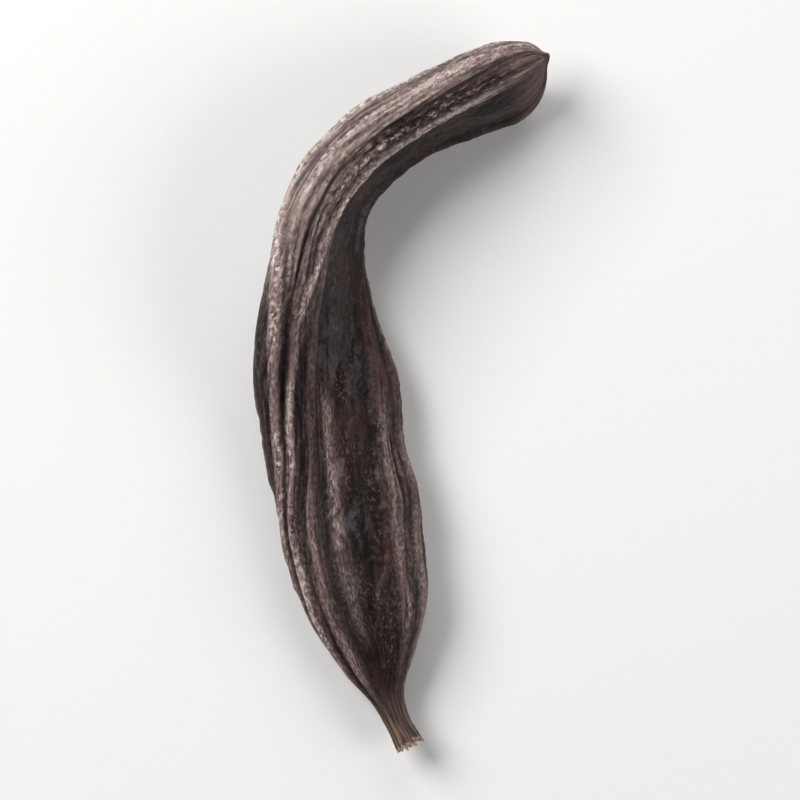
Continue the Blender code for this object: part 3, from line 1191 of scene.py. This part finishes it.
    def resting_offset(self) -> np.ndarray:
        """How far the CAD form was moved to lie centred and pressed a little into the table.

        Returns:
            The offset in X, Y and Z, to be taken from the form's own points.
        """
        rings = self.places_along(self.cad_rings, self.cad_tip_rings)
        points, _ = self.skin(rings, self.places_around(self.cad_around, self.cad_crowding))
        flat = points.reshape(-1, 3)
        middle = (flat.min(axis=0) + flat.max(axis=0)) / 2
        return np.array((middle[0], middle[1], flat[:, 2].min() + self.flat_spot))


@dataclass(frozen=True)
class Pattern:
    """Soft marks over the skin, at their real size.

    They are as far apart across the pod, and as long along it, as the millimetres say. Low and high
    are the noise values at which a mark starts and is whole. Detail and roughness are how fine and
    how ragged its edge is, and within is a coarser pattern that it keeps inside.
    """

    spacing_mm: float
    length_mm: float
    low: float
    high: float
    detail: float = 3.0
    layer: int = 0
    within: "Pattern | None" = None
    roughness: float = 0.55

    def draw(self, tree: bpy.types.NodeTree, place: bpy.types.NodeSocket) -> bpy.types.NodeSocket:
        """Add the nodes that draw the marks.

        Args:
            tree: The material's node tree.
            place: Skin coordinates in millimetres.

        Returns:
            The output that is 1 on a mark and 0 off it.
        """
        scale = (1 / self.length_mm, 1 / self.spacing_mm, 1 / self.spacing_mm)
        shift = (self.layer * PATTERNS_APART,) * 3
        stretched = add_node(
            tree, "ShaderNodeVectorMath", {0: place, 1: scale, 2: shift}, operation="MULTIPLY_ADD"
        )
        marks = add_node(
            tree, "ShaderNodeTexNoise",
            {
                "Vector": stretched.outputs[0],
                "Scale": 1.0,
                "Detail": self.detail,
                "Roughness": self.roughness,
            },
        )
        drawn = add_node(
            tree, "ShaderNodeMapRange",
            {"Value": marks.outputs[0], "From Min": self.low, "From Max": self.high},
            interpolation_type="SMOOTHSTEP",
        )
        if self.within:
            patches = self.within.draw(tree, place)
            drawn = add_node(
                tree, "ShaderNodeMath", {0: drawn.outputs[0], 1: patches}, operation="MULTIPLY"
            )
        return drawn.outputs[0]


@dataclass(frozen=True)
class Layer:
    """Something that lies on the skin where its mark and its pattern both are."""

    amount: float
    mark: Mark | None = None
    pattern: Pattern | None = None

    def draw(
        self,
        tree: bpy.types.NodeTree,
        place: bpy.types.NodeSocket,
        marks: dict[Mark, bpy.types.NodeSocket],
    ) -> bpy.types.NodeSocket | float:
        """Add the nodes that say how much of it lies where.

        Args:
            tree: The material's node tree.
            place: Skin coordinates in millimetres.
            marks: The marks of the skin.

        Returns:
            The output with the amount, or the amount itself where it is the same all over.
        """
        wheres = [marks[self.mark]] if self.mark else []
        if self.pattern:
            wheres.append(self.pattern.draw(tree, place))
        drawn: bpy.types.NodeSocket | float = self.amount
        for where in wheres:
            drawn = add_node(
                tree, "ShaderNodeMath", {0: where, 1: drawn}, operation="MULTIPLY"
            ).outputs[0]
        return drawn


@dataclass(frozen=True)
class DriedCarobSkin:
    """Skin of a carob pod, ripened brown on the tree and dried in the sun.

    It is a thin waxy leather over fibrous flesh. The eye reads it as nearly black and satin on the
    sunken faces, redder and streaked where fibres lie close under the margins, and dry and pinkish
    brown to tan where the ribs and the hook are rubbed down to the fibre, with a dust of pale scurf.
    Its pale grains are partly that scurf and dust and partly painted glints, and its creases are
    darkened with painted shade.
    The leather is an organic film: IOR 1.43, no metal, and dusty enough to take off some shine.
    """

    # Wax-dark leather of the sunken faces, its haze and its browner blotches
    dark: str = "#150c0b"
    bloom: str = "#211615"
    brown: str = "#301e1b"
    # Fibres that show through the skin of the margins, and the pale grains between them, partly dust and
    # partly painted glints
    russet: str = "#47302d"
    dust: str = "#634f4a"
    # Skin rubbed to dry fibre, the tan strands of the hook, pale grains that are partly scurf and partly
    # painted glints, and motes on the faces
    worn: str = "#957e79"
    tan: str = "#ac9a92"
    scurf: str = "#c8bbb6"
    mote: str = "#716563"
    # Painted shade at the bottom of creases and hollows
    crease_shade: str = "#0d0a0a"
    # The stalk's bark, the bast that shows along its ridges, and its torn end
    bark: str = "#2f221f"
    bast: str = "#6b574b"
    torn: str = "#a08c7e"
    # Gloss: satin where the wax is whole, duller where dust lies, and dry bark on the stalk
    ior: float = 1.43
    shine: float = 0.22
    roughness: float = 0.42
    polish: float = 0.08
    dullness: float = 0.14
    stalk_dullness: float = 0.30
    # Haze and blotches are as large as the low bumps over the seeds
    haze: Pattern = Pattern(7, 16, 0.48, 0.75, layer=7)
    blotches: Pattern = Pattern(5, 18, 0.46, 0.66, detail=5.0, layer=1)
    # Single fibres are under 0.1 mm and wouldn't show, so these are bundles, 0.45 to 0.9 mm apart
    streaks: Pattern = Pattern(0.9, 12, 0.36, 0.64, detail=4.0, layer=2)
    hairs: Pattern = Pattern(0.6, 12, 0.25, 0.58, detail=5.0, layer=8)
    strands: Pattern = Pattern(0.8, 16, 0.36, 0.62, detail=4.0, layer=11)
    fibres: Pattern = Pattern(0.45, 4.0, 0.25, 0.75, detail=2.0, layer=5)
    # Furrows of the bark, 2.6 mm apart
    furrows: Pattern = Pattern(2.6, 7, 0.36, 0.64, detail=4.0, layer=9)
    # Grains of scurf are 0.2 mm and are drawn 0.5 mm apart, in patches, so that they show. The same
    # grains raise the bump, so their pale colour also lies on the bumps' tops as painted glints
    grains: Pattern = Pattern(
        0.5, 0.9, 0.47, 0.57, detail=5.0, layer=3, within=Pattern(2.2, 6.0, 0.26, 0.54, layer=10)
    )
    # Specks of skin that are left on the worn ribs, about as far apart as the grains
    specks: Pattern = Pattern(0.55, 1.0, 0.50, 0.60, detail=5.0, layer=12)
    # Motes of scurf that cling to the faces here and there, drawn twice as large as they are
    motes: Pattern = Pattern(
        0.6, 0.7, 0.50, 0.67, detail=6.0, layer=13, within=Pattern(4, 7, 0.36, 0.64, layer=14),
        roughness=0.72,
    )
    # The pores of the leather are 0.3 mm apart and are drawn at 0.8 mm
    leather: Pattern = Pattern(0.8, 1.2, 0.25, 0.75, detail=4.0, layer=6)
    # Patches where the wax is duller, about as large as the creases between the seeds
    dull_patches: Pattern = Pattern(3.5, 7, 0.3, 0.7, layer=4)

    def washes(self) -> tuple[tuple[str, Layer], ...]:
        """List the colours that lie over the dark one.

        Returns:
            Each colour and where it lies, the lowest first.
        """
        return (
            (self.bloom, Layer(1.0, pattern=self.haze)),
            (self.brown, Layer(1.0, pattern=self.blotches)),
            (self.russet, Layer(0.85, Mark.MARGIN, self.streaks)),
            # Pale grains on the margins, partly dust and partly painted glints
            (self.dust, Layer(0.35, Mark.MARGIN, self.grains)),
            (self.mote, Layer(0.50, pattern=self.motes)),
            (self.worn, Layer(1.0, Mark.WORN, self.hairs)),
            (self.tan, Layer(0.85, Mark.TAN, self.strands)),
            (self.brown, Layer(0.60, Mark.WORN, self.specks)),
            # Pale grains, partly scurf and partly painted glints
            (self.scurf, Layer(1.0, Mark.SCURF_AND_GLINTS, self.grains)),
            # Painted shade in creases and hollows
            (self.crease_shade, Layer(0.70, Mark.SHADE_IN_HOLLOWS)),
            (self.bark, Layer(1.0, Mark.STALK)),
            (self.bast, Layer(1.0, Mark.STALK, self.furrows)),
            (self.torn, Layer(1.0, Mark.TORN)),
        )

    def finest_relief(self) -> tuple[Layer, ...]:
        """List the relief that is too low and fine for the mesh.

        Returns:
            For each kind, its rise in millimetres and where it lies.
        """
        return (
            Layer(0.10, Mark.MARGIN, self.fibres),
            Layer(0.08, Mark.MARGIN, self.leather),
            Layer(0.10, Mark.WORN, self.grains),
            Layer(0.05, pattern=self.leather),
        )

    def material(self) -> bpy.types.Material:
        """Build the material.

        Returns:
            The finished material.
        """
        material, shader = blank_material("dried_carob_skin")
        tree = material.node_tree
        shader.inputs["IOR"].default_value = self.ior
        shader.inputs["Specular IOR Level"].default_value = self.shine
        read = {mark: add_node(tree, "ShaderNodeAttribute", attribute_name=mark.value) for mark in Mark}
        place = read[Mark.PLACE].outputs["Vector"]
        marks = {mark: node.outputs["Fac"] for mark, node in read.items()}

        colour: bpy.types.NodeSocket | Colour = linear(self.dark)
        for wash, layer in self.washes():
            mask = layer.draw(tree, place, marks)
            colour = add_node(
                tree, "ShaderNodeMix",
                {SHARE_IN: mask, LOWER_IN: colour, UPPER_IN: linear(wash)}, data_type="RGBA",
            ).outputs[COLOUR_OUT]
        tree.links.new(colour, shader.inputs["Base Color"])

        satin = add_node(
            tree, "ShaderNodeMapRange",
            {
                "Value": self.dull_patches.draw(tree, place),
                "To Min": self.roughness - self.polish,
                "To Max": self.roughness + self.dullness,
            },
        ).outputs[0]
        duller = add_node(
            tree, "ShaderNodeMath",
            {0: marks[Mark.STALK], 1: self.stalk_dullness, 2: satin}, operation="MULTIPLY_ADD",
        )
        tree.links.new(duller.outputs[0], shader.inputs["Roughness"])

        height: bpy.types.NodeSocket | float = 0.0
        for layer in self.finest_relief():
            rise = layer.draw(tree, place, marks)
            height = add_node(tree, "ShaderNodeMath", {0: height, 1: rise}, operation="ADD").outputs[0]
        bumped = add_node(tree, "ShaderNodeBump", {"Height": height, "Strength": 1.0, "Distance": MM})
        tree.links.new(bumped.outputs[0], shader.inputs["Normal"])
        return material


@dataclass(frozen=True)
class StudioPaper:
    """Seamless background paper, pressed and uncoated.

    The eye reads it as an even, matt off-white with the faintest tooth.
    """

    shade: str = "#dbdad8"
    tooth: str = "#d8d7d5"
    roughness: float = 0.85
    # Clumps of pulp are 0.3 mm across and are drawn at 1.1 mm, so that they show
    clump_mm: float = 1.1
    clump_detail: float = 2.0

    def material(self) -> bpy.types.Material:
        """Build the material.

        Returns:
            The finished material.
        """
        material, shader = blank_material("studio_paper")
        tree = material.node_tree
        place = add_node(tree, "ShaderNodeTexCoord").outputs["Object"]
        scale = 1 / (self.clump_mm * MM)
        clumps = add_node(
            tree, "ShaderNodeTexNoise", {"Vector": place, "Scale": scale, "Detail": self.clump_detail}
        )
        shade = add_node(
            tree, "ShaderNodeMix",
            {SHARE_IN: clumps.outputs[0], LOWER_IN: linear(self.shade), UPPER_IN: linear(self.tooth)},
            data_type="RGBA",
        )
        tree.links.new(shade.outputs[COLOUR_OUT], shader.inputs["Base Color"])
        shader.inputs["Roughness"].default_value = self.roughness
        return material


@dataclass
class PodSkin:
    """The finer skin that stands for the CAD solid."""

    form: PodForm = field(default_factory=PodForm)
    relief: DriedRelief = field(default_factory=DriedRelief)
    finish: DriedCarobSkin = field(default_factory=DriedCarobSkin)
    rings: int = 540
    tip_rings: int = 44
    around: int = 168
    crowding: float = 0.20
    # How softly a point that would pass the CAD box is held back at its sides
    soft_edge: float = 0.12 * MM
    # The torn end: splinters and frayed fibre on its rim, and a hollow, pitted pith whose pits get
    # painted shade
    torn_rings: int = 9
    rag_depth: float = 1.5 * MM
    rag_usual: float = 0.5
    rag_most: float = 1.2
    rag_reach: float = 3.5 * MM
    splinter: Texture = Texture(9.0, 2.2, 0.9, 16)
    fray: Texture = Texture(9.0, 0.9, 0.5, 17)
    pith: Texture = Texture(1.0, 1.5, 0.5, 18)
    pith_grain_mm: float = 4.0
    pit_shade: float = 1.5
    pit_rim: float = 6.0
    hollow_depth: float = 0.7 * MM

    def place(self, points: np.ndarray) -> np.ndarray:
        """Lay points of the form where the CAD solid lies, inside its box.

        Args:
            points: Points as the form gives them.

        Returns:
            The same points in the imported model's frame.
        """
        placed = points - self.form.resting_offset()
        low, high = (np.array(corner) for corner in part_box("carob_pod"))
        ease = self.soft_edge
        placed = high - ease * np.logaddexp(0, (high - placed) / ease)
        placed[..., :2] = low[:2] + ease * np.logaddexp(0, (placed[..., :2] - low[:2]) / ease)
        placed[..., 2] = np.maximum(placed[..., 2], 0.0)
        return placed

    def tear(
        self, points: np.ndarray, marks: dict[Mark, np.ndarray], along: np.ndarray
    ) -> tuple[np.ndarray, dict[Mark, np.ndarray]]:
        """Tear the end of the stalk: a ragged rim, and a rough face that is hollow in the middle.

        Args:
            points: Rings of the skin.
            marks: The marks of the skin.
            along: Distance along the pod of each ring.

        Returns:
            The rings with those of the torn face before them, and the marks of them all.
        """
        heading = self.form.middle_line(np.array([0.0]))[2][0]
        ahead = np.array((math.cos(heading), math.sin(heading), 0.0))
        skin = marks[Mark.PLACE]
        rag = self.rag_usual + self.splinter.waves(skin[:1]) + self.fray.waves(skin[:1])
        ease = np.clip(1 - along / self.rag_reach, 0, 1)[:, None] ** 2
        points = points + (self.rag_depth * np.clip(rag, 0, self.rag_most) * ease)[..., None] * ahead
        shrink = np.linspace(0, 1, self.torn_rings + 1)[1:-1, None]
        rim, middle = points[:1], points[:1].mean(axis=1, keepdims=True)
        face = middle + (rim - middle) * shrink[..., None]
        inner = skin[:1] * shrink[..., None]
        pits = self.pith.soft(inner)
        pitted = self.pith.height * MM * pits * (1 - shrink ** self.pit_rim)
        depth = self.hollow_depth * (1 - shrink ** 2) + pitted
        face = face + depth[..., None] * ahead
        inner[..., 0] = -self.pith_grain_mm * (1 - shrink)
        # Painted shade in the pits of the torn pith
        shade = np.clip(-self.pit_shade * pits, 0, 1)
        fill = {Mark.PLACE: inner, Mark.SHADE_IN_HOLLOWS: shade, Mark.STALK: 1.0, Mark.TORN: 1.0}
        all_marks = {}
        for mark, values in marks.items():
            torn = np.broadcast_to(fill.get(mark, 0.0), (len(shrink), *values.shape[1:]))
            all_marks[mark] = np.concatenate((torn, values))
        return np.concatenate((face, points)), all_marks

    def faces(self, rows: int, columns: int) -> list[tuple[int, ...]]:
        """Join the rings by faces, and close both ends with a fan to one point.

        Args:
            rows: How many rings there are.
            columns: How many points each ring has.

        Returns:
            The corners of each face, with the two end points numbered after all the rings.
        """
        ring = [(column, (column + 1) % columns) for column in range(columns)]
        corners: list[tuple[int, ...]] = []
        for here in range(0, (rows - 1) * columns, columns):
            there = here + columns
            corners += [(here + c, there + c, there + n, here + n) for c, n in ring]
        last, count = (rows - 1) * columns, rows * columns
        corners += [(c, n, count) for c, n in ring]
        corners += [(last + n, last + c, count + 1) for c, n in ring]
        return corners

    def build(self) -> bpy.types.Object:
        """Build the skin as one closed mesh and link it.

        Returns:
            The new object.
        """
        form = self.form
        share = form.places_along(self.rings, self.tip_rings)
        around = form.places_around(self.around, self.crowding)
        points, marks = form.skin(share, around, self.relief)
        points, marks = self.tear(points, marks, share * form.length)
        points = with_ends(self.place(points))
        mesh = bpy.data.meshes.new("pod_skin")
        mesh.from_pydata(points.tolist(), [], self.faces(len(marks[Mark.TORN]), len(around)))
        mesh.update()
        for mark, values in marks.items():
            vector = values.ndim == 3
            layer = mesh.attributes.new(mark.value, "FLOAT_VECTOR" if vector else "FLOAT", "POINT")
            flat = with_ends(values).ravel().astype(np.float32)
            layer.data.foreach_set("vector" if vector else "value", flat)
        mesh.shade_smooth()
        return put_in_scene("pod_skin", mesh)

    def dress(self, skin: bpy.types.Object) -> None:
        """Give the skin its finish and its place in the frame.

        Args:
            skin: The built skin.
        """
        skin.data.materials.append(self.finish.material())
        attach(skin, "root")
        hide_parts("carob_pod")


@dataclass(frozen=True)
class Softbox:
    """A soft square light that hangs round the pod and faces it."""

    name: str
    place: tuple[float, float, float]
    side: float
    watts: float

    def hang(self) -> None:
        """Add the light to the scene."""
        data = bpy.data.lights.new(self.name, "AREA")
        data.shape = "SQUARE"
        data.size = self.side
        data.energy = self.watts
        light = put_in_scene(self.name, data)
        light.location = self.place
        light.rotation_euler = (-Vector(self.place)).to_track_quat("-Z", "Y").to_euler()
        light.visible_camera = False


@dataclass(frozen=True)
class Surroundings:
    """The pale room round the studio, which is darker overhead than at the horizon."""

    horizon: str = "#e6e6e6"
    overhead: str = "#5a5a5a"
    strength: float = 0.35

    def set_up(self) -> None:
        """Put the room round the scene."""
        world = bpy.data.worlds.new("surroundings")
        world.use_nodes = True
        tree = world.node_tree
        way = add_node(tree, "ShaderNodeTexCoord").outputs["Generated"]
        up = add_node(tree, "ShaderNodeSeparateXYZ", {0: way}).outputs["Z"]
        shade = add_node(
            tree, "ShaderNodeMix",
            {SHARE_IN: up, LOWER_IN: linear(self.horizon), UPPER_IN: linear(self.overhead)},
            data_type="RGBA",
        )
        background = tree.nodes["Background"]
        tree.links.new(shade.outputs[COLOUR_OUT], background.inputs["Color"])
        background.inputs["Strength"].default_value = self.strength
        bpy.context.scene.world = world


@dataclass
class Studio:
    """A pale floor, soft light and the camera, which looks straight down."""

    floor_size: float = 6.0
    paper: StudioPaper = field(default_factory=StudioPaper)
    softboxes: tuple[Softbox, ...] = (
        Softbox("key", (-0.60, 0.42, 0.66), 0.62, 13.0),
        Softbox("fill", (0.75, -0.20, 0.45), 0.60, 4.5),
        Softbox("back", (0.10, 0.80, 0.45), 0.50, 3.0),
    )
    surroundings: Surroundings = field(default_factory=Surroundings)
    camera_height: float = 0.9
    view_breadth: float = 0.146
    sensor_mm: float = 36.0

    def build_floor(self) -> bpy.types.Object:
        """Build the floor that the pod lies on.

        Returns:
            The new object.
        """
        half = self.floor_size / 2
        corners = [(-half, -half, 0), (half, -half, 0), (half, half, 0), (-half, half, 0)]
        mesh = bpy.data.meshes.new("floor")
        mesh.from_pydata(corners, [], [(0, 1, 2, 3)])
        mesh.materials.append(self.paper.material())
        floor = put_in_scene("floor", mesh)
        return floor

    def light(self) -> None:
        """Hang the lights and put the pale room round them."""
        for softbox in self.softboxes:
            softbox.hang()
        self.surroundings.set_up()

    def set_camera(self) -> None:
        """Look straight down with +Y up, at this breadth of floor, and show colours as they are."""
        bpy.context.scene.view_settings.view_transform = "Standard"
        data = bpy.data.cameras.new("camera")
        data.sensor_width = self.sensor_mm
        data.lens = self.sensor_mm * self.camera_height / self.view_breadth
        camera = put_in_scene("camera", data)
        camera.location = (0.0, 0.0, self.camera_height)
        bpy.context.scene.camera = camera


def main() -> None:
    """Build and dress every piece in order."""
    logging.basicConfig(level=logging.INFO, format="%(message)s")
    pod = PodSkin()
    skin = pod.build()
    pod.dress(skin)
    LOG.info("pod skin: %d faces", len(skin.data.polygons))
    studio = Studio()
    studio.build_floor()
    studio.light()
    studio.set_camera()
    LOG.info("studio: floor, %d soft lights and the camera", len(studio.softboxes))


if __name__ == "__main__":
    main()
